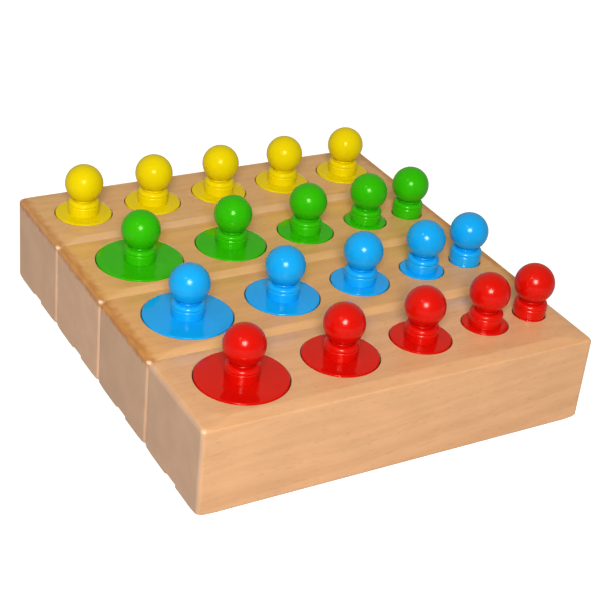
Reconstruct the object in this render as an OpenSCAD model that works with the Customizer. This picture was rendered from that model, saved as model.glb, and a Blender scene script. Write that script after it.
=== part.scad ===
// Knobbed cylinder blocks: four beech blocks, each with five turned and painted cylinders
// that lift out of their sockets by a glued-in knob. Millimetres, +Z up, blocks along X,
// the red block in front (-Y). The origin is on the table, under the middle of the set.

/* [Block] */
// Length of each block
block_l = 167; // [164:1:190]
// Width of each block
block_w = 45; // [42:0.5:60]
// Height of each block
block_h = 37.5; // [34:0.5:60]
// How far the sloping top edges reach in from the sides
edge_in = 4.6; // [2.5:0.1:5.4]
// Slope of the top edges in degrees
edge_tilt = 14; // [5:1:30]
// Radius between the sloping top edges and the sides
edge_r = 1.4; // [0.5:0.1:2]
// Radius of the rounded bottom edges
foot_r = 1.6; // [0.5:0.1:3]
// Radius of the rounded upright edges
corner_r = 1.7; // [0.5:0.1:3]
// Width of the groove under each block
groove_w = 9.5; // [4:0.5:20]
// Depth of the groove under each block
groove_d = 2; // [0.5:0.1:6]
// Bevel around the mouth of each socket
mouth_bevel = 0.3; // [0.1:0.1:0.5]

/* [Cylinders] */
// Diameter of the largest cylinder in a graded row
large_d = 34.5; // [30:0.1:35]
// Diameter of the smallest cylinder in a graded row
small_d = 12.4; // [11:0.1:14]
// Diameter of every cylinder in the even row
even_d = 23.4; // [14:0.1:24.4]
// Height of the tallest cylinder
tall_h = 28; // [20:0.5:33]
// Height of the shortest cylinder
short_h = 12; // [10:0.5:20]
// Height of the cylinder tops above the block
proud_h = 0.3; // [0.1:0.1:1]
// Bevel on the ends of each cylinder
end_bevel = 0.4; // [0.1:0.1:0.6]
// Gap between a cylinder and the wall of its socket
socket_clear = 0.4; // [0.3:0.05:0.6]

/* [Rows] */
// How far each row of sockets lies behind the middle of its block
row_offset = 1.8; // [0:0.1:2.4]
// From the end of the block to the largest cylinder of a graded row
graded_margin = 9.75; // [6:0.25:12]
// Wood between the cylinders of a graded row
graded_gap = 8.9; // [5:0.1:10]
// Wood between the two smallest cylinders of a graded row
graded_last_gap = 6.1; // [4:0.1:9]
// From the end of the block to the first cylinder of the even row
even_margin = 9.4; // [6:0.1:12]
// Wood between the cylinders of the even row
even_gap = 8.1; // [5:0.1:9.5]

/* [Knobs] */
// Diameter of the ball
ball_d = 15.8; // [14:0.1:18]
// Height of the ball's middle above its cylinder
ball_z = 13.3; // [12:0.1:16]
// Diameter of the neck at its narrowest
neck_d = 7.8; // [7:0.1:9]
// Radius of the hollow curve around the neck
cove_r = 0.3; // [0.2:0.1:1]
// Diameter of the collar
collar_d = 13; // [11:0.1:14]
// Radius of the rounded shoulder of the collar
shoulder_r = 1.6; // [1.2:0.1:3]
// Depth of the turned line below the shoulder
line_d = 0.25; // [0.1:0.05:0.4]
// Diameter of the tenon that is glued into the cylinder
tenon_d = 6; // [4:0.1:8]
// Length of the tenon
tenon_l = 8; // [5:0.1:10]
// Room for glue around the tenon
glue_clear = 0.05; // [0.03:0.01:0.1]
// Room for glue below the tenon
glue_depth = 0.5; // [0.2:0.1:1]

/* [Hidden] */
$fn = 64;
ROWS = ["red", "blue", "green", "yellow"];
PAINTS = ["#d81812", "#1c90dc", "#34ae14", "#ecc808"];
BEECH = "#d9a878";
EVEN_ROW = "yellow";
COUNT = 5;
LAST = COUNT - 1;
// Small overlap where one cut has to pass right through a face
cut = 1;
set_w = len(ROWS) * block_w;

// The share of the way from the largest cylinder of a row to the smallest
function along(i) = i / LAST;
function between(a, b, t) = a + (b - a) * t;
function is_even(row) = row == EVEN_ROW;
function row_index(row) = search([row], ROWS)[0];
function block_y(row) = -set_w / 2 + (row_index(row) + 0.5) * block_w;
function row_y(row) = block_y(row) + row_offset;

// The graded rows grow smaller in diameter, and the even row keeps one diameter
function cylinder_d(row, i) = is_even(row) ? even_d : between(large_d, small_d, along(i));

// Red keeps one height, blue and yellow grow shorter, green grows taller
function cylinder_h(row, i) =
    row == "red" ? tall_h :
    row == "green" ? between(short_h, tall_h, along(i)) :
    between(tall_h, short_h, along(i));

function margin(row) = is_even(row) ? even_margin : graded_margin;
function gap_before(row, i) = is_even(row) ? even_gap : i == LAST ? graded_last_gap : graded_gap;
function cylinder_x(row, i) =
    i == 0
    ? -block_l / 2 + margin(row) + cylinder_d(row, 0) / 2
    : cylinder_x(row, i - 1) + (cylinder_d(row, i - 1) + cylinder_d(row, i)) / 2 + gap_before(row, i);

// Where the slope of a top edge ends, and where the side of the block begins
slope_in = edge_r * (1 - sin(edge_tilt));
slope_drop = (edge_in - slope_in) * tan(edge_tilt);
brink_z = block_h - slope_drop - edge_r * cos(edge_tilt);

// Middles of the curves that make the knob's neck and collar
cove_x = neck_d / 2 + cove_r;
cove_z = ball_z - sqrt(pow(ball_d / 2 + cove_r, 2) - pow(cove_x, 2));
shoulder_x = collar_d / 2 - shoulder_r;
shoulder_z = cove_z - sqrt(pow(cove_r + shoulder_r, 2) - pow(cove_x - shoulder_x, 2));

top_z = block_h + proud_h;
function floor_z(row, i) = top_z - cylinder_h(row, i);
function piece_name(row, kind, i) = str(row, "_", kind, "_", i + 1);

// An upright section across a block that is w wide there
module section(w) {
    half = [
        [w / 2 - foot_r, 0], [w / 2, foot_r], [w / 2, brink_z],
        [w / 2 - slope_in, block_h - slope_drop], [w / 2 - edge_in, block_h]
    ];
    polygon(concat(half, [for (k = [len(half) - 1:-1:0]) [-half[k][0], half[k][1]]]));
    for (side = [-1, 1]) {
        translate([side * (w / 2 - foot_r), foot_r]) circle(foot_r);
        translate([side * (w / 2 - edge_r), brink_z]) circle(edge_r);
    }
}

// The outline of a block from above
module plan() {
    square([block_l - 2 * corner_r, block_w], center = true);
    square([block_l, block_w - 2 * corner_r], center = true);
    for (x = [-1, 1], y = [-1, 1])
        translate([x * (block_l / 2 - corner_r), y * (block_w / 2 - corner_r)]) circle(corner_r);
}

// A block without its sockets
module block_blank() {
    intersection() {
        linear_extrude(block_h) plan();
        rotate([90, 0, 90]) linear_extrude(block_l, center = true) section(block_w);
        rotate([90, 0, 0]) linear_extrude(block_w, center = true) section(block_l);
    }
}

// The room that one cylinder needs in its block
module socket(row, i) {
    r = cylinder_d(row, i) / 2 + socket_clear;
    translate([cylinder_x(row, i), row_offset, 0]) {
        translate([0, 0, floor_z(row, i)]) cylinder(h = block_h, r = r);
        translate([0, 0, block_h - mouth_bevel])
            cylinder(h = mouth_bevel + cut, r1 = r, r2 = r + mouth_bevel + cut);
    }
}

module block(row) {
    color(BEECH) translate([0, block_y(row), 0]) difference() {
        block_blank();
        for (i = [0:LAST]) socket(row, i);
        translate([-block_l, -groove_w / 2, -cut]) cube([2 * block_l, groove_w, groove_d + cut]);
    }
}

// The right half of a cylinder's turned outline, bored for its knob
module cylinder_outline(r, h) {
    bore_r = tenon_d / 2 + glue_clear;
    bore_z = h - tenon_l - glue_depth;
    polygon([
        [0, 0], [r - end_bevel, 0], [r, end_bevel], [r, h - end_bevel], [r - end_bevel, h],
        [bore_r, h], [bore_r, bore_z], [0, bore_z]
    ]);
}

module turned_cylinder(row, i) {
    color(PAINTS[row_index(row)])
        translate([cylinder_x(row, i), row_y(row), floor_z(row, i)])
            rotate_extrude() cylinder_outline(cylinder_d(row, i) / 2, cylinder_h(row, i));
}

// The right half of the knob's turned outline, with z = 0 where the collar stands.
// The ball, the hollow of the neck and the shoulder of the collar run into each other smoothly.
module knob_outline() {
    translate([0, -tenon_l]) square([tenon_d / 2, tenon_l]);
    intersection() {
        square([ball_d, ball_z + ball_d]);
        union() {
            difference() {
                union() {
                    square([collar_d / 2, shoulder_z]);
                    translate([shoulder_x, shoulder_z]) circle(shoulder_r);
                    polygon([[0, shoulder_z], [shoulder_x, shoulder_z], [cove_x, cove_z], [0, ball_z]]);
                }
                translate([cove_x, cove_z]) circle(cove_r);
                translate([collar_d / 2, shoulder_z - line_d]) circle(line_d);
            }
            translate([0, ball_z]) circle(ball_d / 2);
        }
    }
}

module knob(row, i) {
    color(PAINTS[row_index(row)])
        translate([cylinder_x(row, i), row_y(row), top_z])
            rotate_extrude() knob_outline();
}

for (row = ROWS) {
    block(row);
    for (i = [0:LAST]) {
        turned_cylinder(row, i);
        knob(row, i);
    }
}
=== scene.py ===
"""Looks of the knobbed cylinder blocks: varnished beech blocks with glossy, turned cylinders.

The solids of the part give every place and outer size. The classes below turn and carve
finer meshes at those places, dress them, and set the studio in which they are seen.
"""
import logging
import math
from dataclasses import dataclass, field
from enum import Enum
from typing import Any, Mapping, Optional, Sequence, Tuple, Union

import bmesh
import bpy
from mathutils import Matrix, Vector


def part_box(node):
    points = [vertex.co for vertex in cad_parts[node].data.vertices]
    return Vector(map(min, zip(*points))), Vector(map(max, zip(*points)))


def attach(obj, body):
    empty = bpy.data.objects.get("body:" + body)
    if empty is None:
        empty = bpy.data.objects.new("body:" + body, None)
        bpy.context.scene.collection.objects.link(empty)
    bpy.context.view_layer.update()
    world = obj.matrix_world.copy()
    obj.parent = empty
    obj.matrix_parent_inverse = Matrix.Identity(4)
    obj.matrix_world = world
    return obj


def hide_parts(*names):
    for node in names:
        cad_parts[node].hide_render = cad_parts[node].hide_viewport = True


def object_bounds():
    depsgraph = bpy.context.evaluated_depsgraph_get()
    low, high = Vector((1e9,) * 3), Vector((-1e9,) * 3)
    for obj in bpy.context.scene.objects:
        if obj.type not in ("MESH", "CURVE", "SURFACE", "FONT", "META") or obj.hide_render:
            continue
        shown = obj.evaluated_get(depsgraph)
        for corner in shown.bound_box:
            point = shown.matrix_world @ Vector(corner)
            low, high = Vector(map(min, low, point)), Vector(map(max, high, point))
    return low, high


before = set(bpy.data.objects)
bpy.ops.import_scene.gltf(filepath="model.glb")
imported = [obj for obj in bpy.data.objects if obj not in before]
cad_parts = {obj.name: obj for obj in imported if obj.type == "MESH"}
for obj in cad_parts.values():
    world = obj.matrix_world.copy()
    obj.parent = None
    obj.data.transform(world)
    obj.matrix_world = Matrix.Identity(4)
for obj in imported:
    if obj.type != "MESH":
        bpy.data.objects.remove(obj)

CAD_LOW, CAD_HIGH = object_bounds()

log = logging.getLogger("knobbed_cylinder_blocks")

MM = 0.001
TO_MM = (1.0 / MM,) * 3

Triple = Tuple[float, float, float]
Colour = Triple
Point = Tuple[float, float]
Socket = bpy.types.NodeSocket
Feed = Union[float, Sequence[float], Socket]


class Row(Enum):
    """The rows of the set, from the front to the back."""

    RED = "red"
    BLUE = "blue"
    GREEN = "green"
    YELLOW = "yellow"


@dataclass(frozen=True)
class Figure:
    """A solid pattern of noise.

    Attributes:
        scale: Features per millimetre along, across and up.
        detail: Number of finer layers.
        roughness: Strength of the finer layers.
        shows: Noise at which the pattern begins to show, and at which it shows fully.
        share: How strongly it shows then.
    """

    scale: Triple
    detail: float
    roughness: float = 0.5
    shows: Point = (0.0, 1.0)
    share: float = 1.0


class ShaderGraph:
    """One new material, with short ways to add and join its shader nodes."""

    def __init__(self, name: str) -> None:
        """Starts the material.

        Args:
            name: Name of the new material.
        """
        self.material = bpy.data.materials.new(name)
        self.material.use_nodes = True
        self.tree = self.material.node_tree
        self.shader = self.tree.nodes["Principled BSDF"]

    def feed(self, into: Socket, value: Feed) -> None:
        """Gives a socket a link or a plain value.

        Args:
            into: The input to feed.
            value: Another node's output, a number, or the parts of a vector or colour.
        """
        if isinstance(value, bpy.types.NodeSocket):
            self.tree.links.new(value, into)
        elif into.type == "RGBA":
            into.default_value = (*value, 1.0)
        else:
            into.default_value = value

    def node(self, kind: str, inputs: Optional[Mapping[Any, Feed]] = None,
             **settings: Any) -> bpy.types.Node:
        """Adds a node.

        Args:
            kind: Type name of the node.
            inputs: What to feed, by the name or number of the input.
            settings: Options of the node itself.

        Returns:
            The new node.
        """
        made = self.tree.nodes.new(kind)
        for key, value in settings.items():
            setattr(made, key, value)
        for key, value in (inputs or {}).items():
            self.feed(made.inputs[key], value)
        return made

    def math(self, operation: str, *values: Feed) -> Socket:
        """Returns the result of a sum on numbers."""
        return self.node("ShaderNodeMath", dict(enumerate(values)), operation=operation).outputs[0]

    def vector(self, operation: str, *values: Feed) -> Socket:
        """Returns the vector that a sum on vectors gives."""
        made = self.node("ShaderNodeVectorMath", dict(enumerate(values)), operation=operation)
        return made.outputs["Vector"]

    def length(self, value: Feed) -> Socket:
        """Returns the length of a vector."""
        return self.node("ShaderNodeVectorMath", {0: value}, operation="LENGTH").outputs["Value"]

    def parts(self, value: Feed) -> bpy.types.bpy_prop_collection:
        """Returns the outputs X, Y and Z of a vector."""
        return self.node("ShaderNodeSeparateXYZ", {0: value}).outputs

    def joined(self, x: Feed = 0.0, y: Feed = 0.0, z: Feed = 0.0) -> Socket:
        """Returns the vector that three numbers make."""
        return self.node("ShaderNodeCombineXYZ", {0: x, 1: y, 2: z}).outputs[0]

    def ramp(self, value: Feed, span: Point, start: float = 0.0, end: float = 1.0) -> Socket:
        """Adds a smooth step.

        Args:
            value: The number that the step follows.
            span: Where the step begins and ends.
            start: Result before the step.
            end: Result after the step.

        Returns:
            The result of the step.
        """
        low, high = span
        inputs = {"Value": value, "From Min": low, "From Max": high, "To Min": start, "To Max": end}
        made = self.node("ShaderNodeMapRange", inputs, interpolation_type="SMOOTHSTEP")
        return made.outputs["Result"]

    def figure(self, at: Feed, figure: Figure, output: str = "Fac") -> Socket:
        """Adds a solid pattern.

        Args:
            at: Place in the pattern, in millimetres.
            figure: The pattern.
            output: Name of the noise's output.

        Returns:
            The noise at that place.
        """
        at = self.vector("MULTIPLY", at, figure.scale)
        inputs = {"Vector": at, "Scale": 1.0, "Detail": figure.detail, "Roughness": figure.roughness}
        return self.node("ShaderNodeTexNoise", inputs).outputs[output]

    def shown(self, noise: Feed, figure: Figure) -> Socket:
        """Returns how strongly a pattern shows, by its noise."""
        return self.ramp(noise, figure.shows, 0.0, figure.share)

    def tone(self, noise: Feed, figure: Figure) -> Socket:
        """Returns how light a pattern makes a colour, by its noise."""
        return self.ramp(noise, figure.shows, 1.0 - figure.share, 1.0 + figure.share)

    def bands(self, at: Feed, scale: float) -> Socket:
        """Returns noise along a single number, which makes uneven bands."""
        inputs = {"W": at, "Scale": scale, "Detail": 1.0}
        return self.node("ShaderNodeTexNoise", inputs, noise_dimensions="1D").outputs["Fac"]

    def mix(self, factor: Feed, first: Feed, second: Feed) -> Socket:
        """Returns a mix of two colours."""
        made = self.node("ShaderNodeMix", {0: factor, 6: first, 7: second}, data_type="RGBA")
        return made.outputs[2]

    def scaled(self, colour: Feed, share: Feed) -> Socket:
        """Returns a colour made lighter or darker by a share."""
        made = self.node("ShaderNodeVectorMath", {0: colour, "Scale": share}, operation="SCALE")
        return made.outputs["Vector"]

    def bump(self, height: Feed, strength: float, depth: float) -> Socket:
        """Returns a normal that follows a height map.

        Args:
            height: The height map, from 0 to 1.
            strength: Share of the effect.
            depth: Real depth of the map in metres.

        Returns:
            The bumped normal.
        """
        inputs = {"Height": height, "Strength": strength, "Distance": depth}
        return self.node("ShaderNodeBump", inputs).outputs["Normal"]

    def dress(self, values: Mapping[str, Feed]) -> bpy.types.Material:
        """Feeds the shader.

        Args:
            values: What to feed, by the name of the shader's input.

        Returns:
            The finished material.
        """
        for key, value in values.items():
            self.feed(self.shader.inputs[key], value)
        return self.material


@dataclass(frozen=True)
class WoodCut:
    """What sets the wood of one block apart.

    Attributes:
        shift: Place of the block in the solid patterns, in millimetres.
        slope: Climb of the grain along the block.
        soak: Share of the varnish stain along the upper edges of the ends.
        end_tone: How light the sawn ends are.
        end_soft: How much rounder the ends are sanded.
        tint: Share of each colour that the varnish lets through.
        edge_highlight: Share of the painted highlight colour on the sloping front edge.
    """

    shift: Triple
    slope: float
    soak: float
    end_tone: float
    end_soft: float
    tint: Colour
    edge_highlight: float


@dataclass(frozen=True)
class Varnish:
    """Clear varnish on the outside of a block.

    Attributes:
        weight: Weight of the clear coat.
        end_share: Share of that weight on the sawn ends.
        thins: How far a surface faces an end where the coat begins to thin, and where it is thin.
        gloss: Roughness of the coat, from the dark patches to the light ones.
        wood_gloss: Roughness of the wood below, from between the fibres to their tops.
        gloss_over: Noise over which both change.
        shine: Strength of the wood's own mirror image.
        relief: Share of the wood's relief that shows through.
        relief_d: Depth of that relief.
    """

    weight: float = 0.6
    end_share: float = 0.15
    thins: Point = (0.70, 0.95)
    gloss: Point = (0.06, 0.10)
    wood_gloss: Point = (0.36, 0.48)
    gloss_over: Point = (0.2, 0.8)
    shine: float = 0.2
    relief: float = 0.3
    relief_d: float = 0.04 * MM

    def dress(self, g: ShaderGraph, colour: Socket, endwise: Socket, fibres: Socket, blotches: Socket,
              relief: Socket) -> bpy.types.Material:
        """Varnishes the wood.

        Args:
            g: The shader to feed.
            colour: Colour of the wood.
            endwise: How far the surface faces an end, from 0 to 1.
            fibres: Noise of the fibres.
            blotches: Noise of the lighter and darker patches.
            relief: Height of the wood's surface.

        Returns:
            The finished material.
        """
        return g.dress({
            "Base Color": colour,
            "Roughness": g.ramp(fibres, self.gloss_over, *self.wood_gloss),
            "Specular IOR Level": self.shine,
            "Coat Weight": g.ramp(endwise, self.thins, self.weight, self.end_share * self.weight),
            "Coat Roughness": g.ramp(blotches, self.gloss_over, *self.gloss),
            "Normal": g.bump(relief, self.relief, self.relief_d),
        })


@dataclass(frozen=True)
class DrilledWood:
    """Bare wood inside the sockets.

    Attributes:
        dark: Share of the dark colour that the drill leaves.
        gloss: Roughness of the bare wood.
        relief: Share of the wood's relief that shows.
        relief_d: Depth of that relief.
    """

    dark: float = 0.30
    gloss: float = 0.7
    relief: float = 0.6
    relief_d: float = 0.12 * MM

    def dress(self, g: ShaderGraph, colour: Socket, streak: Colour, relief: Socket) -> bpy.types.Material:
        """Leaves the wood bare.

        Args:
            g: The shader to feed.
            colour: Colour of the wood.
            streak: The dark colour that the drill leaves.
            relief: Height of the wood's surface.

        Returns:
            The finished material.
        """
        return g.dress({
            "Base Color": g.mix(self.dark, colour, streak),
            "Roughness": self.gloss,
            "Normal": g.bump(relief, self.relief, self.relief_d),
        })


@dataclass(frozen=True)
class Beech:
    """Varnished beech with its grain along X, cut from one set of solid patterns.

    Attributes:
        light: Colour of the early wood.
        mid: Colour of the late wood.
        streak: Colour of the long dark lines.
        fleck: Colour of the short flecks.
        end_grain: Colour of the sawn ends.
        soaked: Colour where varnish soaked into the upper edges of the ends.
        pooled: Colour where more of it soaked in.
        painted_highlight: Pale colour painted as a highlight on the sloping front edges and the upper
            corners, where they face the flash.
        pith: Middle of the tree's rings, in millimetres from the block.
        rings: Rings per millimetre.
        late: Place in a ring where the late wood begins, and where it is full.
        end_late: The same on the sawn ends.
        end_late_share: Share of the late wood's colour on the sawn ends.
        sway: Pattern by which the grain strays from straight.
        sway_by: How far it strays, in millimetres.
        fibres: Pattern of the fibres.
        fibre_relief: Height of the fibres.
        lines: Pattern of the long dark lines.
        flecks: Pattern of the short flecks.
        fleck_relief: Height of the flecks, which lie in hollows.
        blotches: Pattern of the lighter and darker patches.
        end_blotch: How much lighter and darker the patches are on the sawn ends.
        end_faces: How far a surface faces an end where its sawn colour begins, and where it is full.
        pores: Pattern of the pores in the sawn ends.
        pools: Pattern of the pools in the stain.
        ragged: Pattern of the uneven outline of the stain and of the painted corner highlights.
        ragged_by: How uneven that outline is.
        corner_ragged: Share of that unevenness around the painted corner highlights.
        stain_in: Where the stain begins and ends to fade, in from the ends.
        stain_down: Where the stain begins and ends to fade, down from the top.
        corner_highlight_reach: Where the painted highlight begins and ends to fade, from each upper
            corner.
        edge_begins: How far a surface faces the front where the painted highlight of the sloping front
            edge begins, and where it is full.
        edge_ends: How far a surface faces the front where that painted highlight fades, and where it is
            gone.
        varnish: Finish of the outside.
        drilled: Finish inside the sockets.
    """

    light: Colour = (0.745, 0.415, 0.212)
    mid: Colour = (0.705, 0.378, 0.184)
    streak: Colour = (0.55, 0.260, 0.105)
    fleck: Colour = (0.42, 0.190, 0.070)
    end_grain: Colour = (0.575, 0.368, 0.248)
    soaked: Colour = (0.58, 0.240, 0.048)
    pooled: Colour = (0.49, 0.185, 0.038)
    # Pale colour painted as a highlight on the sloping front edges and the upper corners.
    painted_highlight: Colour = (0.88, 0.63, 0.44)
    pith: Triple = (0.0, 46.0, -70.0)
    rings: float = 0.20
    late: Point = (0.30, 0.70)
    end_late: Point = (0.35, 0.65)
    end_late_share: float = 0.05
    sway: Figure = Figure((0.011, 0.022, 0.022), 1.0)
    sway_by: float = 8.0
    fibres: Figure = Figure((0.035, 1.1, 1.1), 3.0, shows=(0.25, 0.75), share=0.025)
    fibre_relief: float = 0.7
    lines: Figure = Figure((0.016, 0.62, 0.62), 1.0, shows=(0.68, 0.82), share=0.32)
    flecks: Figure = Figure((0.30, 1.9, 1.9), 1.0, shows=(0.60, 0.76), share=0.28)
    fleck_relief: float = -0.5
    blotches: Figure = Figure((0.05, 0.09, 0.09), 2.0, shows=(0.3, 0.7), share=0.035)
    end_blotch: float = 0.045
    end_faces: Point = (0.30, 0.85)
    pores: Figure = Figure((2.4, 2.4, 2.4), 2.0, 0.6, shows=(0.50, 0.74), share=0.07)
    pools: Figure = Figure((0.55, 0.16, 0.30), 1.0, shows=(0.40, 0.65))
    ragged: Figure = Figure((0.20, 0.30, 0.30), 3.0)
    ragged_by: float = 2.5 * MM
    corner_ragged: float = 0.15
    stain_in: Point = (1.4 * MM, 5.0 * MM)
    stain_down: Point = (1.6 * MM, 4.0 * MM)
    corner_highlight_reach: Point = (1.4 * MM, 2.4 * MM)
    edge_begins: Point = (0.05, 0.22)
    edge_ends: Point = (0.4, 0.8)
    varnish: Varnish = Varnish()
    drilled: DrilledWood = DrilledWood()

    def grain(self, g: ShaderGraph, at: Socket, cut: WoodCut) -> Socket:
        """Bends the straight grain.

        Args:
            g: The shader to add to.
            at: Place in the patterns, in millimetres.
            cut: What sets the block's wood apart.

        Returns:
            Place in the patterns that follow the grain.
        """
        stray = g.figure(at, self.sway, "Color")
        both_ways = (0.0, 2.0 * self.sway_by, 2.0 * self.sway_by)
        stray = g.vector("MULTIPLY_ADD", stray, both_ways, (0.0, -self.sway_by, -self.sway_by))
        climb = g.joined(z=g.math("MULTIPLY", g.parts(at)["X"], cut.slope))
        return g.vector("ADD", at, g.vector("ADD", stray, climb))

    def front_highlight(self, g: ShaderGraph, forward: Socket, cut: WoodCut) -> Socket:
        """Paints a highlight on the sloping front edge, between the top and the upright front, where it
        faces the flash.

        Args:
            g: The shader to add to.
            forward: How far the surface faces the front, from 0 to 1.
            cut: What sets the block's wood apart.

        Returns:
            The share of the painted highlight colour there.
        """
        below_top = g.ramp(forward, self.edge_begins, 0.0, cut.edge_highlight)
        return g.math("MULTIPLY", below_top, g.ramp(forward, self.edge_ends, 1.0, 0.0))

    def sawn(self, g: ShaderGraph, at: Socket, rings: Socket, blotches: Socket, cut: WoodCut) -> Socket:
        """Colours the sawn ends.

        Args:
            g: The shader to add to.
            at: Place in the patterns, in millimetres.
            rings: The tree's rings.
            blotches: The lighter and darker patches.
            cut: What sets the block's wood apart.

        Returns:
            The colour of the end grain.
        """
        late = g.ramp(rings, self.end_late, 0.0, self.end_late_share)
        pores = g.shown(g.figure(at, self.pores), self.pores)
        colour = g.mix(pores, g.mix(late, self.end_grain, self.mid), self.streak)
        dark, light = (cut.end_tone * (1.0 + by) for by in (-self.end_blotch, self.end_blotch))
        return g.scaled(colour, g.ramp(blotches, self.blotches.shows, dark, light))

    def stains_and_highlights(self, g: ShaderGraph, colour: Socket, own: Socket, at: Socket, size: Vector,
             cut: WoodCut) -> Socket:
        """Stains the upper edges of the ends and paints a highlight on the upper corners.

        Args:
            g: The shader to add to.
            colour: The colour so far.
            own: Place on the block, from the middle of its underside.
            at: Place in the patterns, in millimetres.
            size: Length, width and height of the block.
            cut: What sets the block's wood apart.

        Returns:
            The colour with its stains and painted corner highlights.
        """
        own = g.parts(own)
        inwards = g.math("SUBTRACT", size.x / 2, g.math("ABSOLUTE", own["X"]))
        aside = g.math("SUBTRACT", size.y / 2, g.math("ABSOLUTE", own["Y"]))
        down = g.math("SUBTRACT", size.z, own["Z"])
        ragged = g.figure(at, self.ragged)
        ragged = g.math("MULTIPLY_ADD", ragged, 2.0 * self.ragged_by, -self.ragged_by)

        rim = g.ramp(g.math("ADD", inwards, ragged), self.stain_in, 1.0, 0.0)
        soak = g.ramp(g.math("ADD", down, ragged), self.stain_down, cut.soak, 0.0)
        pools = g.shown(g.figure(at, self.pools), self.pools)
        stain = g.mix(pools, self.pooled, self.soaked)
        colour = g.mix(g.math("MULTIPLY", rim, soak), colour, stain)

        # Painted highlight: a pale patch on each upper corner stands in for the flash's glint there.
        corner = g.length(g.joined(inwards, aside, down))
        corner = g.math("MULTIPLY_ADD", ragged, self.corner_ragged, corner)
        return g.mix(g.ramp(corner, self.corner_highlight_reach, 1.0, 0.0), colour, self.painted_highlight)

    def material(self, name: str, size: Vector, cut: WoodCut, bare: bool = False) -> bpy.types.Material:
        """Builds the finish of one block.

        Args:
            name: Name of the material.
            size: Length, width and height of the block.
            cut: What sets the block's wood apart.
            bare: True for the drilled wood inside the sockets.

        Returns:
            The finished material.
        """
        g = ShaderGraph(name)
        place = g.node("ShaderNodeTexCoord").outputs
        at = g.vector("MULTIPLY_ADD", place["Object"], TO_MM, cut.shift)
        grain = self.grain(g, at, cut)
        across = g.vector("MULTIPLY_ADD", grain, (0.0, 1.0, 1.0), self.pith)
        rings = g.bands(g.length(across), self.rings)
        fibres = g.figure(grain, self.fibres)
        flecks = g.figure(grain, self.flecks)
        blotches = g.figure(at, self.blotches)

        lines = g.shown(g.figure(grain, self.lines), self.lines)
        colour = g.mix(g.ramp(rings, self.late), self.light, self.mid)
        colour = g.mix(lines, colour, self.streak)
        colour = g.mix(g.shown(flecks, self.flecks), colour, self.fleck)
        colour = g.scaled(colour, g.tone(fibres, self.fibres))
        colour = g.scaled(colour, g.tone(blotches, self.blotches))
        colour = g.vector("MULTIPLY", colour, cut.tint)

        facing = g.parts(place["Normal"])
        forward = g.math("MULTIPLY", facing["Y"], -1.0)
        endwise = g.math("ABSOLUTE", facing["X"])
        # Painted highlight: a pale band on the sloping front edge, where it faces the flash.
        colour = g.mix(self.front_highlight(g, forward, cut), colour, self.painted_highlight)
        sawn = self.sawn(g, at, rings, blotches, cut)
        colour = g.mix(g.ramp(endwise, self.end_faces), colour, sawn)
        colour = self.stains_and_highlights(g, colour, place["Object"], at, size, cut)

        relief = g.math("MULTIPLY", flecks, self.fleck_relief)
        relief = g.math("MULTIPLY_ADD", fibres, self.fibre_relief, relief)
        if bare:
            return self.drilled.dress(g, colour, self.streak, relief)
        return self.varnish.dress(g, colour, endwise, fibres, blotches, relief)


@dataclass(frozen=True)
class GlossPaint:
    """Gloss paint on turned wood.

    Attributes:
        colour: Colour of the paint.
        thin: Colour where the paint is thinner.
        shine: Strength of its mirror image.
        tint: Colour that the paint gives to its mirror image.
        disc_gloss: Roughness of the paint on the cylinders.
        knob_gloss: Roughness of the paint on the knobs, which hands have dulled.
        gloss_range: How much rougher it is where it is thin.
        gloss_over: Noise of the clouds over which the roughness changes.
        clouds: Pattern of the thicker and thinner paint.
        peel: Pattern of the slight unevenness of the paint.
        peel_d: Depth of that unevenness.
        peel_share: How strongly it shows.
        marks: Marks of the turning tool per millimetre.
        mark_relief: Height of the marks, as a share of the unevenness.
        spread: How far apart the pieces lie in the patterns, in millimetres.
    """

    colour: Colour
    thin: Colour
    shine: float
    tint: Colour
    disc_gloss: float = 0.06
    knob_gloss: float = 0.18
    gloss_range: float = 0.05
    gloss_over: Point = (0.3, 0.7)
    clouds: Figure = Figure((0.11, 0.11, 0.11), 3.0, shows=(0.35, 0.75), share=0.6)
    peel: Figure = Figure((0.30, 0.30, 0.30), 2.0)
    peel_d: float = 0.03 * MM
    peel_share: float = 0.5
    marks: float = 1.4
    mark_relief: float = 0.10
    spread: Triple = (90.0, 170.0, 50.0)

    def material(self, name: str, gloss: float) -> bpy.types.Material:
        """Builds the paint.

        Args:
            name: Name of the material.
            gloss: Roughness where the paint is thick.

        Returns:
            The finished material.
        """
        g = ShaderGraph(name)
        place = g.node("ShaderNodeTexCoord").outputs
        own = g.node("ShaderNodeObjectInfo").outputs["Random"]
        shift = g.vector("MULTIPLY", g.joined(own, own, own), self.spread)
        at = g.vector("MULTIPLY_ADD", place["Object"], TO_MM, shift)
        clouds = g.figure(at, self.clouds)
        from_axis = g.vector("MULTIPLY", place["Object"], (*TO_MM[:2], 0.0))
        marks = g.bands(g.length(from_axis), self.marks)
        relief = g.math("MULTIPLY_ADD", marks, self.mark_relief, g.figure(at, self.peel))
        return g.dress({
            "Base Color": g.mix(g.shown(clouds, self.clouds), self.colour, self.thin),
            "Roughness": g.ramp(clouds, self.gloss_over, gloss, gloss + self.gloss_range),
            "Specular IOR Level": self.shine,
            "Specular Tint": self.tint,
            "Normal": g.bump(relief, self.peel_share, self.peel_d),
        })


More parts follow.
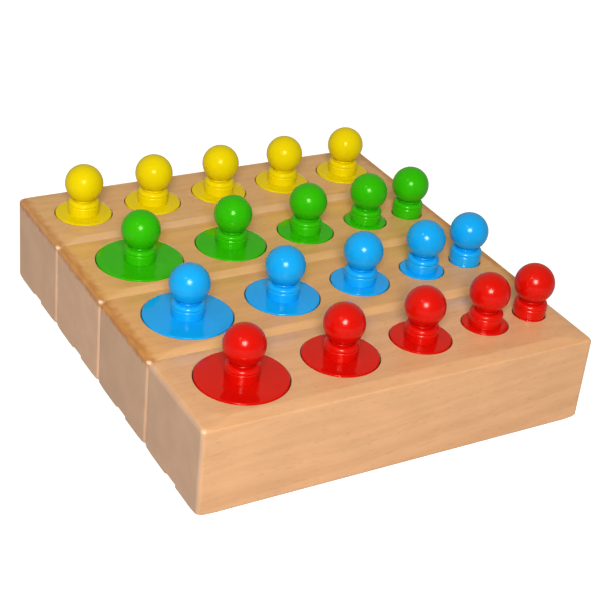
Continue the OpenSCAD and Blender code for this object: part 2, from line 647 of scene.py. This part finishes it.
PAINTS: Mapping[Row, GlossPaint] = {
    Row.RED: GlossPaint(
        colour=(0.62, 0.003, 0.001), thin=(0.66, 0.006, 0.002), shine=0.44, tint=(1.0, 0.6, 0.5)),
    Row.BLUE: GlossPaint(
        colour=(0.003, 0.365, 0.86), thin=(0.006, 0.395, 0.90), shine=0.36, tint=(0.75, 1.0, 1.0)),
    Row.GREEN: GlossPaint(
        colour=(0.026, 0.46, 0.001), thin=(0.036, 0.50, 0.002), shine=0.34, tint=(0.5, 1.0, 0.3)),
    Row.YELLOW: GlossPaint(
        colour=(0.78, 0.61, 0.001), thin=(0.82, 0.65, 0.002), shine=0.22, tint=(1.0, 0.9, 0.3)),
}

BEECH = Beech()

CUTS: Mapping[Row, WoodCut] = {
    # edge_highlight sets how strongly a highlight is painted on each block's sloping front edge.
    Row.RED: WoodCut(
        shift=(40.0, 0.0, 0.0), slope=-0.08, soak=0.0,
        end_tone=1.04, end_soft=1.6 * MM, tint=(1.0, 1.0, 1.0), edge_highlight=0.0),
    Row.BLUE: WoodCut(
        shift=(350.0, 57.0, 23.0), slope=-0.03, soak=0.9,
        end_tone=1.04, end_soft=0.5 * MM, tint=(1.01, 0.96, 0.72), edge_highlight=0.13),
    Row.GREEN: WoodCut(
        shift=(660.0, 114.0, 46.0), slope=0.02, soak=0.8,
        end_tone=1.20, end_soft=0.5 * MM, tint=(1.0, 1.0, 0.70), edge_highlight=0.12),
    Row.YELLOW: WoodCut(
        shift=(970.0, 171.0, 69.0), slope=0.07, soak=0.7,
        end_tone=1.19, end_soft=0.5 * MM, tint=(0.98, 1.03, 0.90), edge_highlight=0.2),
}


class Lathe:
    """Turns outlines around the Z axis into closed meshes."""

    SEGMENTS = 88
    ON_AXIS = 1e-9

    @staticmethod
    def arc(middle: Point, radius: float, start: float, end: float, steps: int) -> list[Point]:
        """Walks along a curve of an outline.

        Args:
            middle: Centre of the curve.
            radius: Radius of the curve.
            start: First angle in degrees.
            end: Last angle in degrees.
            steps: Number of straight steps.

        Returns:
            The points of the curve, ends included.
        """
        (x, y), turn = middle, end - start
        angles = [math.radians(start + turn * k / steps) for k in range(steps + 1)]
        return [(x + radius * math.cos(a), y + radius * math.sin(a)) for a in angles]

    @classmethod
    def turn(cls, outline: Sequence[Point], mesh: bmesh.types.BMesh, base: Point = (0.0, 0.0)) -> None:
        """Adds one turned solid to a mesh.

        Args:
            outline: Points (radius, z) from the bottom of the axis to its top.
            mesh: The mesh that takes the solid.
            base: Where the axis stands.
        """
        rings, (x, y) = [], base
        turns = [2.0 * math.pi * k / cls.SEGMENTS for k in range(cls.SEGMENTS)]
        for radius, z in outline:
            ring = [(x + radius * math.cos(t), y + radius * math.sin(t), z) for t in turns]
            if radius < cls.ON_AXIS:
                ring = [(x, y, z)]
            rings.append([mesh.verts.new(point) for point in ring])
        for low, high in zip(rings, rings[1:]):
            for k in range(cls.SEGMENTS):
                n = (k + 1) % cls.SEGMENTS
                if len(low) == 1:
                    mesh.faces.new((low[0], high[n], high[k]))
                elif len(high) == 1:
                    mesh.faces.new((low[k], low[n], high[0]))
                else:
                    mesh.faces.new((low[k], low[n], high[n], high[k]))


class Workshop:
    """Makes finished objects out of meshes."""

    SHARP = math.radians(32.0)

    @classmethod
    def place(cls, name: str, mesh: bmesh.types.BMesh, at: Vector) -> bpy.types.Object:
        """Puts a mesh in the scene with smooth curves and crisp edges.

        Args:
            name: Name of the object.
            mesh: Its mesh, used up here.
            at: Where its origin stands.

        Returns:
            The new object.
        """
        bmesh.ops.recalc_face_normals(mesh, faces=mesh.faces[:])
        data = bpy.data.meshes.new(name)
        mesh.to_mesh(data)
        mesh.free()
        cls.smooth(data)
        made = bpy.data.objects.new(name, data)
        made.location = at
        bpy.context.scene.collection.objects.link(made)
        return made

    @classmethod
    def smooth(cls, data: bpy.types.Mesh) -> None:
        """Shades a mesh smooth, except across its sharp edges."""
        data.shade_smooth()
        data.set_sharp_from_angle(angle=cls.SHARP)

    @staticmethod
    def baked(made: bpy.types.Object) -> bpy.types.Mesh:
        """Works an object's modifiers into a new mesh.

        Args:
            made: The object with its modifiers.

        Returns:
            The mesh as the modifiers leave it.
        """
        bpy.context.view_layer.update()
        graph = bpy.context.evaluated_depsgraph_get()
        return bpy.data.meshes.new_from_object(made.evaluated_get(graph), depsgraph=graph)

    @classmethod
    def carve(cls, blank: bpy.types.Object, tool: bpy.types.Object) -> None:
        """Cuts a tool out of a blank, and evens out the shading of the flat faces.

        Args:
            blank: The object to cut.
            tool: The solid to take away, removed afterwards.
        """
        cut = blank.modifiers.new("cut", "BOOLEAN")
        cut.operation, cut.solver, cut.object = "DIFFERENCE", "EXACT", tool
        blank.data = cls.baked(blank)
        blank.modifiers.clear()
        bpy.data.objects.remove(tool, do_unlink=True)
        cls.smooth(blank.data)
        even = blank.modifiers.new("even", "WEIGHTED_NORMAL")
        even.keep_sharp = True
        blank.data = cls.baked(blank)
        blank.modifiers.clear()


@dataclass
class TurnedKnob:
    """A ball knob with its neck, collar and tenon, turned in one piece.

    Attributes:
        row: The row it belongs to.
        number: Its place in the row, from 1.
        ball_d: Diameter of the ball.
        ball_z: Height of the ball's middle above the cylinder.
        neck_d: Diameter of the neck at its narrowest.
        cove_r: Radius of the hollow around the neck.
        collar_d: Diameter of the collar.
        shoulder_r: Radius of the collar's rounded shoulder.
        line_d: Depth of the turned line below the shoulder.
        line_w: Half the width of the turned line.
        crown: Bulge of the band below the line.
        foot: Bevel at the foot of the collar.
        tenon_d: Diameter of the tenon.
        tenon_l: Length of the tenon.
        band_steps: Steps along the band, and across the turned line.
        shoulder_steps: Steps around the shoulder.
        cove_steps: Steps around the hollow of the neck.
        ball_steps: Steps from the neck to the top of the ball.
    """

    row: Row
    number: int
    ball_d: float = 15.8 * MM
    ball_z: float = 13.3 * MM
    neck_d: float = 7.8 * MM
    cove_r: float = 0.3 * MM
    collar_d: float = 13.0 * MM
    shoulder_r: float = 1.6 * MM
    line_d: float = 0.22 * MM
    line_w: float = 0.45 * MM
    crown: float = 0.12 * MM
    foot: float = 0.15 * MM
    tenon_d: float = 6.0 * MM
    tenon_l: float = 8.0 * MM
    band_steps: int = 8
    shoulder_steps: int = 18
    cove_steps: int = 12
    ball_steps: int = 44

    @property
    def name(self) -> str:
        """Name of the knob's node."""
        return f"{self.row.value}_knob_{self.number}"

    def band(self, radius: float, top: float) -> list[Point]:
        """Walks up the slightly bulging band of the collar.

        Args:
            radius: Radius of the collar.
            top: Height of the band's upper end.

        Returns:
            The points of the band.
        """
        steps = self.band_steps
        heights = [self.foot + (top - self.foot) * k / steps for k in range(steps + 1)]
        return [(radius - self.crown * (1.0 - z / top) ** 2, z) for z in heights]

    def line(self, radius: float, z: float) -> list[Point]:
        """Walks up the turned line around the collar.

        Args:
            radius: Radius of the collar.
            z: Height of the line's middle.

        Returns:
            The points of the line, without its ends.
        """
        shares = [2 * k / self.band_steps - 1.0 for k in range(1, self.band_steps)]
        depths = [self.line_d * math.cos(math.pi / 2 * t) ** 2 for t in shares]
        return [(radius - depth, z + self.line_w * t) for depth, t in zip(depths, shares)]

    def outline(self) -> list[Point]:
        """Walks up the knob, from the tenon to the top of the ball.

        Returns:
            The points of the outline, with z = 0 where the collar stands.
        """
        ball_r, collar_r = self.ball_d / 2, self.collar_d / 2
        cove = Vector((self.neck_d / 2 + self.cove_r, 0.0))
        cove.y = self.ball_z - math.sqrt((ball_r + self.cove_r) ** 2 - cove.x ** 2)
        shoulder = Vector((collar_r - self.shoulder_r, 0.0))
        apart = self.cove_r + self.shoulder_r
        shoulder.y = cove.y - math.sqrt(apart ** 2 - (cove.x - shoulder.x) ** 2)
        rise = math.degrees(math.atan2(cove.y - shoulder.y, cove.x - shoulder.x))
        under = math.degrees(math.atan2(cove.y - self.ball_z, cove.x))
        points = [(0.0, -self.tenon_l), (self.tenon_d / 2, -self.tenon_l), (self.tenon_d / 2, 0.0)]
        points += [(collar_r - self.crown - self.foot, 0.0)]
        points += self.band(collar_r, shoulder.y - 2 * self.line_w)
        points += self.line(collar_r, shoulder.y - self.line_w)
        points += Lathe.arc(tuple(shoulder), self.shoulder_r, 0.0, rise, self.shoulder_steps)
        hollow = Lathe.arc(tuple(cove), self.cove_r, rise + 180.0, under + 180.0, self.cove_steps)
        points += hollow[1:]
        points += Lathe.arc((0.0, self.ball_z), ball_r, under, 90.0, self.ball_steps)[1:-1]
        return points + [(0.0, self.ball_z + ball_r)]

    def build(self, axis: Vector, paint: bpy.types.Material) -> bpy.types.Object:
        """Turns and paints the knob.

        Args:
            axis: Where the collar stands.
            paint: Finish of the knob.

        Returns:
            The finished knob, in place of its solid.
        """
        mesh = bmesh.new()
        Lathe.turn(self.outline(), mesh)
        made = Workshop.place(f"{self.name}_turned", mesh, axis)
        made.data.materials.append(paint)
        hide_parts(self.name)
        return made


@dataclass
class TurnedCylinder:
    """A painted cylinder with a bore for its knob.

    Attributes:
        row: The row it belongs to.
        number: Its place in the row, from 1.
        round_r: Radius of its softened edges.
        bore_d: Diameter of the bore.
        bore_l: Depth of the bore.
        edge_steps: Steps around each softened edge.
        low: Lower corner of its solid's box.
        high: Upper corner of its solid's box.
    """

    row: Row
    number: int
    round_r: float = 0.4 * MM
    bore_d: float = 6.1 * MM
    bore_l: float = 8.5 * MM
    edge_steps: int = 6
    low: Vector = field(init=False)
    high: Vector = field(init=False)

    def __post_init__(self) -> None:
        """Reads the cylinder's place from its solid."""
        self.low, self.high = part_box(self.name)

    @property
    def name(self) -> str:
        """Name of the cylinder's node and of its body."""
        return f"{self.row.value}_cylinder_{self.number}"

    @property
    def radius(self) -> float:
        """Radius of the cylinder."""
        return (self.high.x - self.low.x) / 2

    @property
    def height(self) -> float:
        """Height of the cylinder."""
        return self.high.z - self.low.z

    @property
    def top(self) -> Vector:
        """Middle of the cylinder's top."""
        return Vector(((self.low.x + self.high.x) / 2, (self.low.y + self.high.y) / 2, self.high.z))

    def outline(self) -> list[Point]:
        """Walks from the middle of the underside around the cylinder and down its bore.

        Returns:
            The points of the outline, with z = 0 at the cylinder's top.
        """
        inner, edge, floor = self.radius - self.round_r, self.round_r, -self.height
        points = [(0.0, floor), (inner - edge, floor)]
        points += Lathe.arc((inner, floor + edge), edge, 270.0, 360.0, self.edge_steps)
        points += Lathe.arc((inner, -edge), edge, 0.0, 90.0, self.edge_steps)
        points += [((inner + self.bore_d / 2) / 2, 0.0), (self.bore_d / 2, 0.0)]
        return points + [(self.bore_d / 2, -self.bore_l), (0.0, -self.bore_l)]

    def build(self, paint: bpy.types.Material) -> bpy.types.Object:
        """Turns and paints the cylinder.

        Args:
            paint: Finish of the cylinder.

        Returns:
            The finished cylinder, in place of its solid.
        """
        mesh = bmesh.new()
        Lathe.turn(self.outline(), mesh)
        made = Workshop.place(f"{self.name}_turned", mesh, self.top)
        made.data.materials.append(paint)
        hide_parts(self.name)
        return made


@dataclass
class KnobbedCylinder:
    """A cylinder with its glued-in knob, which move as one.

    Attributes:
        row: The row it belongs to.
        number: Its place in the row, from 1.
    """

    row: Row
    number: int

    def build(self, disc_paint: bpy.types.Material,
              knob_paint: bpy.types.Material) -> TurnedCylinder:
        """Builds both pieces on their shared body.

        Args:
            disc_paint: Finish of the cylinder.
            knob_paint: Finish of the knob.

        Returns:
            The cylinder, for the socket that holds it.
        """
        cylinder = TurnedCylinder(self.row, self.number)
        knob = TurnedKnob(self.row, self.number)
        for piece in (cylinder.build(disc_paint), knob.build(cylinder.top, knob_paint)):
            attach(piece, cylinder.name)
            log.info("%s: %d faces", piece.name, len(piece.data.polygons))
        return cylinder


@dataclass
class SocketBlock:
    """A beech block with its row of sockets and its groove.

    Attributes:
        row: The row it belongs to.
        end_soft: How much larger the radius of the top edges is along the ends.
        edge_in: How far the sloping top edges reach in.
        edge_tilt: Slope of the top edge along the front, in degrees.
        end_tilt: Slope of the top edges along the ends, in degrees.
        back_tilt: Slope of the top edge along the back, in degrees.
        edge_r: Radius between the sloping top edges and the sides.
        crest_r: Radius between the sloping top edges and the top.
        foot_r: Radius of the bottom edges.
        corner_r: Radius of the upright edges.
        corner_grow: How much rounder the corners get per length of inset.
        corner_soft: How much larger the radius of the bottom edges is at the corners.
        corner_spread: How far from a corner the slopes and radii begin to change.
        groove_w: Width of the groove underneath.
        groove_d: Depth of the groove underneath.
        clear: Gap around each cylinder.
        seam: Hair of room under each cylinder and around the block, so that no faces coincide.
        mouth_r: Radius of the softened socket mouths.
        steps: Steps around each rounded edge.
        mouth_steps: Steps around each socket mouth's softened edge.
        low: Lower corner of its solid's box.
        high: Upper corner of its solid's box.
    """

    row: Row
    end_soft: float
    edge_in: float = 5.2 * MM
    edge_tilt: float = 14.0
    end_tilt: float = 4.5
    back_tilt: float = 1.5
    edge_r: float = 0.7 * MM
    crest_r: float = 6.0 * MM
    foot_r: float = 1.3 * MM
    corner_r: float = 1.7 * MM
    corner_grow: float = 1.5
    corner_soft: float = 0.7 * MM
    corner_spread: float = 5.0 * MM
    groove_w: float = 9.5 * MM
    groove_d: float = 2.0 * MM
    clear: float = 0.4 * MM
    seam: float = 0.03 * MM
    mouth_r: float = 0.3 * MM
    steps: int = 10
    mouth_steps: int = 4
    low: Vector = field(init=False)
    high: Vector = field(init=False)

    def __post_init__(self) -> None:
        """Reads the block's place from its solid."""
        self.low, self.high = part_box(self.name)

    @property
    def name(self) -> str:
        """Name of the block's node and of its body."""
        return f"{self.row.value}_block"

    @property
    def foot(self) -> Vector:
        """Middle of the block's underside."""
        return Vector(((self.low.x + self.high.x) / 2, (self.low.y + self.high.y) / 2, self.low.z))

    @property
    def size(self) -> Vector:
        """Length, width and height of the block."""
        return self.high - self.low

    def levels(self, edge_tilt: float, edge_r: float, foot_r: float) -> list[Point]:
        """Walks up the side of the block.

        Args:
            edge_tilt: Slope of the top edge here, in degrees.
            edge_r: Radius between the sloping top edge and the side here.
            foot_r: Radius of the bottom edge here.

        Returns:
            Insets and heights of the block's outlines.
        """
        tilt, top = math.radians(edge_tilt), self.size.z
        steep = 90.0 + edge_tilt
        slope_in = edge_r * (1.0 - math.sin(tilt))
        brink = top - (self.edge_in - slope_in) * math.tan(tilt) - edge_r * math.cos(tilt)
        crest_in = self.edge_in + self.crest_r * math.tan(tilt / 2)
        foot = Lathe.arc((foot_r, foot_r), foot_r, 270.0, 180.0, self.steps)
        edge = Lathe.arc((edge_r, brink), edge_r, 180.0, steep, self.steps)
        crest = Lathe.arc((crest_in, top - self.crest_r), self.crest_r, steep, 90.0, self.steps)
        return foot + edge + crest

    def column(self, mesh: bmesh.types.BMesh, turn: int, place: float) -> list[bmesh.types.BMVert]:
        """Adds one line of points up the side of the block.

        Args:
            mesh: The mesh that takes the points.
            turn: Number of the corner, counted from +X and +Y towards -X.
            place: Place of the line, from 0 to 1 on the curve of that corner, from -1 to 0 on
                the side before it and from 1 to 2 on the side after it.

        Returns:
            The vertices of the line, from the foot to the top.
        """
        angle = math.radians(90.0 * (turn + min(max(place, 0.0), 1.0)))
        share = math.radians(90.0 * (turn + (place + 1.0) / 3.0))
        end = math.cos(share) ** 2
        side_tilt = self.back_tilt if math.sin(share) > 0.0 else self.edge_tilt
        edge_tilt = side_tilt + end * (self.end_tilt - side_tilt)
        edge_r = self.edge_r + end * self.end_soft
        foot_r = self.foot_r + self.corner_soft * math.sin(2.0 * share) ** 2
        beside = self.corner_spread * (min(place, 0.0) + max(place - 1.0, 0.0))
        sx, sy = ((1, 1), (-1, 1), (-1, -1), (1, -1))[turn]
        verts = []
        for inset, z in self.levels(edge_tilt, edge_r, foot_r):
            radius = self.corner_r + self.corner_grow * inset
            reach = self.size / 2 - Vector.Fill(3, self.seam + inset + radius)
            x = sx * reach.x + radius * math.cos(angle) - beside * math.sin(angle)
            y = sy * reach.y + radius * math.sin(angle) + beside * math.cos(angle)
            verts.append(mesh.verts.new((x, y, z)))
        return verts

    def blank(self) -> bpy.types.Object:
        """Shapes the rounded block, before it is drilled.

        Returns:
            The block without its sockets and groove.
        """
        mesh = bmesh.new()
        places = [step / self.steps for step in range(-self.steps, 2 * self.steps + 1)]
        columns = [self.column(mesh, turn, place) for turn in range(4) for place in places]
        for near, far in zip(columns, columns[1:] + columns[:1]):
            for k in range(len(near) - 1):
                mesh.faces.new((near[k], far[k], far[k + 1], near[k + 1]))
        mesh.faces.new([column[0] for column in reversed(columns)])
        mesh.faces.new([column[-1] for column in columns])
        return Workshop.place(f"{self.name}_carved", mesh, self.foot)

    def drill(self, cylinders: Sequence[TurnedCylinder]) -> bpy.types.Object:
        """Shapes the sockets and the groove.

        Args:
            cylinders: The cylinders that stand in the sockets.

        Returns:
            The solid that they take away.
        """
        mesh = bmesh.new()
        top, over = self.size.z, self.mouth_r
        for cylinder in cylinders:
            r = cylinder.radius + self.clear
            floor = cylinder.low.z - self.low.z - self.seam
            outline = [(0.0, floor), (r, floor)]
            outline += Lathe.arc((r + over, top - over), over, 180.0, 90.0, self.mouth_steps)
            outline += [(r + over, top + over), (0.0, top + over)]
            Lathe.turn(outline, mesh, tuple((cylinder.top - self.foot).xy))
        groove = Matrix.Diagonal((2 * self.size.x, self.groove_w, 2 * self.groove_d, 1.0))
        bmesh.ops.create_cube(mesh, size=1.0, matrix=groove)
        return Workshop.place("drill", mesh, self.foot)

    def build(self, cylinders: Sequence[TurnedCylinder], varnished: bpy.types.Material,
              bare: bpy.types.Material) -> bpy.types.Object:
        """Carves and dresses the block.

        Args:
            cylinders: The cylinders that stand in its sockets.
            varnished: Finish of the outside.
            bare: Finish of the drilled wood.

        Returns:
            The finished block, in place of its solid.
        """
        made = self.blank()
        Workshop.carve(made, self.drill(cylinders))
        made.data.materials.append(varnished)
        made.data.materials.append(bare)
        for face in made.data.polygons:
            face.material_index = int(self.drilled(face.center, cylinders))
        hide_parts(self.name)
        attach(made, self.name)
        log.info("%s: %d faces", made.name, len(made.data.polygons))
        return made

    def drilled(self, point: Vector, cylinders: Sequence[TurnedCylinder]) -> bool:
        """Tells whether a point of the block lies inside one of its sockets.

        Args:
            point: A point on the block, from its foot.
            cylinders: The cylinders that stand in its sockets.

        Returns:
            True inside a socket.
        """
        if point.z > self.size.z - self.mouth_r or point.z < self.groove_d:
            return False
        axes = [(c.top - self.foot, c.radius) for c in cylinders]
        return any((point.xy - axis.xy).length < r + 2 * self.clear for axis, r in axes)


@dataclass
class SetRow:
    """One block with its knobbed cylinders.

    Attributes:
        row: Which row it is.
        count: Number of its cylinders.
    """

    row: Row
    count: int = 5

    def build(self) -> None:
        """Builds and dresses every piece of the row."""
        name, cut, paint = self.row.value, CUTS[self.row], PAINTS[self.row]
        disc_paint = paint.material(f"{name} gloss paint", paint.disc_gloss)
        knob_paint = paint.material(f"{name} gloss paint, handled", paint.knob_gloss)
        pairs = [KnobbedCylinder(self.row, n + 1) for n in range(self.count)]
        cylinders = [pair.build(disc_paint, knob_paint) for pair in pairs]
        block = SocketBlock(self.row, cut.end_soft)
        varnished = BEECH.material(f"varnished beech, {name} row", block.size, cut)
        bare = BEECH.material(f"drilled beech, {name} row", block.size, cut, bare=True)
        block.build(cylinders, varnished, bare)


@dataclass(frozen=True)
class Lamp:
    """A round lamp, seen from the set as a glow of some width.

    Attributes:
        name: Name of the lamp.
        turn: Direction around the set, in degrees from -Y towards -X.
        rise: Direction above the table, in degrees.
        away: Distance from the set.
        level: Brightness it gives to a white surface in the middle of the set that faces it.
        width: Width of its glow, in degrees.
    """

    name: str
    turn: float
    rise: float
    away: float
    level: float
    width: float

    def build(self) -> None:
        """Hangs the lamp in its place."""
        turn, rise = math.radians(self.turn), math.radians(self.rise)
        flat = math.cos(rise)
        towards = Vector((-math.sin(turn) * flat, -math.cos(turn) * flat, math.sin(rise)))
        data = bpy.data.lights.new(self.name, "POINT")
        data.energy = (2.0 * math.pi * self.away) ** 2 * self.level
        data.shadow_soft_size = self.away * math.tan(math.radians(self.width / 2))
        lamp = bpy.data.objects.new(self.name, data)
        lamp.location = self.away * towards
        bpy.context.scene.collection.objects.link(lamp)


@dataclass
class Studio:
    """A white table top in a dim room, with a flash beside the lens.

    Attributes:
        floor_size: Length of the table top's sides.
        floor_white: Share of light that the table top throws back.
        glow: Extra white of the table top where it is looked at.
        mirrored: Share of that extra white in mirror images.
        room: Colour of the room's light.
        front_level: Strength of the room's light on the side of the lens.
        back_level: Strength of the room's light behind the set.
        fade: Where the one begins and ends to change into the other, from front to back.
        lamps: The flash and the glow of a far window.
    """

    floor_size: float = 60.0
    floor_white: float = 0.46
    glow: float = 0.85
    mirrored: float = 0.1
    room: Colour = (1.0, 0.87, 0.62)
    front_level: float = 0.24
    back_level: float = 0.44
    fade: Point = (-0.3, 0.8)
    lamps: Tuple[Lamp, ...] = (
        Lamp("flash", turn=30.0, rise=36.0, away=1.1, level=0.94, width=19.0),
        Lamp("window", turn=68.0, rise=52.0, away=4.0, level=0.04, width=8.0),
    )

    def looked_at(self, g: ShaderGraph) -> Socket:
        """Tells the rays that show the table top from those that only carry its light.

        Args:
            g: The shader to add to.

        Returns:
            1 for rays straight to the lens, a share of it for mirrored ones, 0 for the rest.
        """
        path = g.node("ShaderNodeLightPath").outputs
        seen = g.math("MAXIMUM", path["Is Camera Ray"], path["Is Transmission Ray"])
        return g.math("MAXIMUM", seen, g.math("MULTIPLY", path["Is Glossy Ray"], self.mirrored))

    def floor(self) -> None:
        """Lays the table top."""
        mesh = bmesh.new()
        bmesh.ops.create_grid(mesh, x_segments=1, y_segments=1, size=self.floor_size / 2)
        made = Workshop.place("table_top", mesh, Vector((0.0, 0.0, CAD_LOW.z)))
        g = ShaderGraph("white table top")
        white = (self.floor_white,) * 3
        made.data.materials.append(g.dress({
            "Base Color": white,
            "Roughness": 1.0,
            "Specular IOR Level": 0.0,
            "Emission Color": (1.0, 1.0, 1.0),
            "Emission Strength": g.math("MULTIPLY", self.looked_at(g), self.glow),
        }))

    def surroundings(self) -> None:
        """Sets the dim room, lighter behind the set, with a white backdrop."""
        world = bpy.data.worlds.new("room")
        world.use_nodes = True
        nodes, links = world.node_tree.nodes, world.node_tree.links
        path = nodes.new("ShaderNodeLightPath")
        backdrop = nodes.new("ShaderNodeBackground")
        either = nodes.new("ShaderNodeMixShader")
        backdrop.inputs["Color"].default_value = (1.0, 1.0, 1.0, 1.0)
        links.new(path.outputs["Is Camera Ray"], either.inputs[0])
        links.new(nodes["Background"].outputs[0], either.inputs[1])
        links.new(backdrop.outputs[0], either.inputs[2])
        links.new(either.outputs[0], nodes["World Output"].inputs["Surface"])
        away = nodes.new("ShaderNodeTexCoord")
        behind = nodes.new("ShaderNodeSeparateXYZ")
        fade = nodes.new("ShaderNodeMapRange")
        fade.interpolation_type = "SMOOTHSTEP"
        fade.inputs["From Min"].default_value, fade.inputs["From Max"].default_value = self.fade
        fade.inputs["To Min"].default_value = self.front_level
        fade.inputs["To Max"].default_value = self.back_level
        nodes["Background"].inputs["Color"].default_value = (*self.room, 1.0)
        links.new(away.outputs["Generated"], behind.inputs[0])
        links.new(behind.outputs["Y"], fade.inputs["Value"])
        links.new(fade.outputs["Result"], nodes["Background"].inputs["Strength"])
        bpy.context.scene.world = world

    def build(self) -> None:
        """Sets up the table top, the room and the lamps."""
        self.floor()
        self.surroundings()
        for lamp in self.lamps:
            lamp.build()


@dataclass(frozen=True)
class PhotoCamera:
    """The camera of the photo, as its perspective gives it.

    Attributes:
        place: Where the lens is.
        yaw: Turn of the view from +Y towards +X, in degrees.
        pitch: Tilt of the view below level, in degrees.
        roll: Turn of the picture about the view, in degrees.
        lens: Focal length in millimetres.
        film: Width of the picture behind the lens, in millimetres.
        near: Distance from which things are seen.
    """

    place: Triple = (-0.2721, -0.4446, 0.3249)
    yaw: float = 31.95
    pitch: float = 30.21
    roll: float = -6.12
    lens: float = 88.45
    film: float = 36.0
    near: float = 0.01

    def build(self) -> None:
        """Sets the camera up and makes it the scene's own."""
        yaw, pitch, roll = (math.radians(a) for a in (self.yaw, self.pitch, self.roll))
        flat = math.cos(pitch)
        ahead = Vector((math.sin(yaw) * flat, math.cos(yaw) * flat, -math.sin(pitch)))
        right = Vector((math.cos(yaw), -math.sin(yaw), 0.0))
        down = ahead.cross(right)
        across = math.cos(roll) * right + math.sin(roll) * down
        below = math.cos(roll) * down - math.sin(roll) * right
        data = bpy.data.cameras.new("photo_camera")
        data.lens, data.sensor_width, data.clip_start = self.lens, self.film, self.near
        camera = bpy.data.objects.new("photo_camera", data)
        turn = Matrix((across, -below, -ahead)).transposed()
        camera.matrix_world = Matrix.Translation(self.place) @ turn.to_4x4()
        bpy.context.scene.collection.objects.link(camera)
        bpy.context.scene.camera = camera


def main() -> None:
    """Builds every row, then the studio and the camera."""
    logging.basicConfig(level=logging.INFO, format="%(name)s: %(message)s")
    bpy.context.scene.view_settings.view_transform = "Standard"
    for row in Row:
        SetRow(row).build()
    Studio().build()
    PhotoCamera().build()


if __name__ == "__main__":
    main()
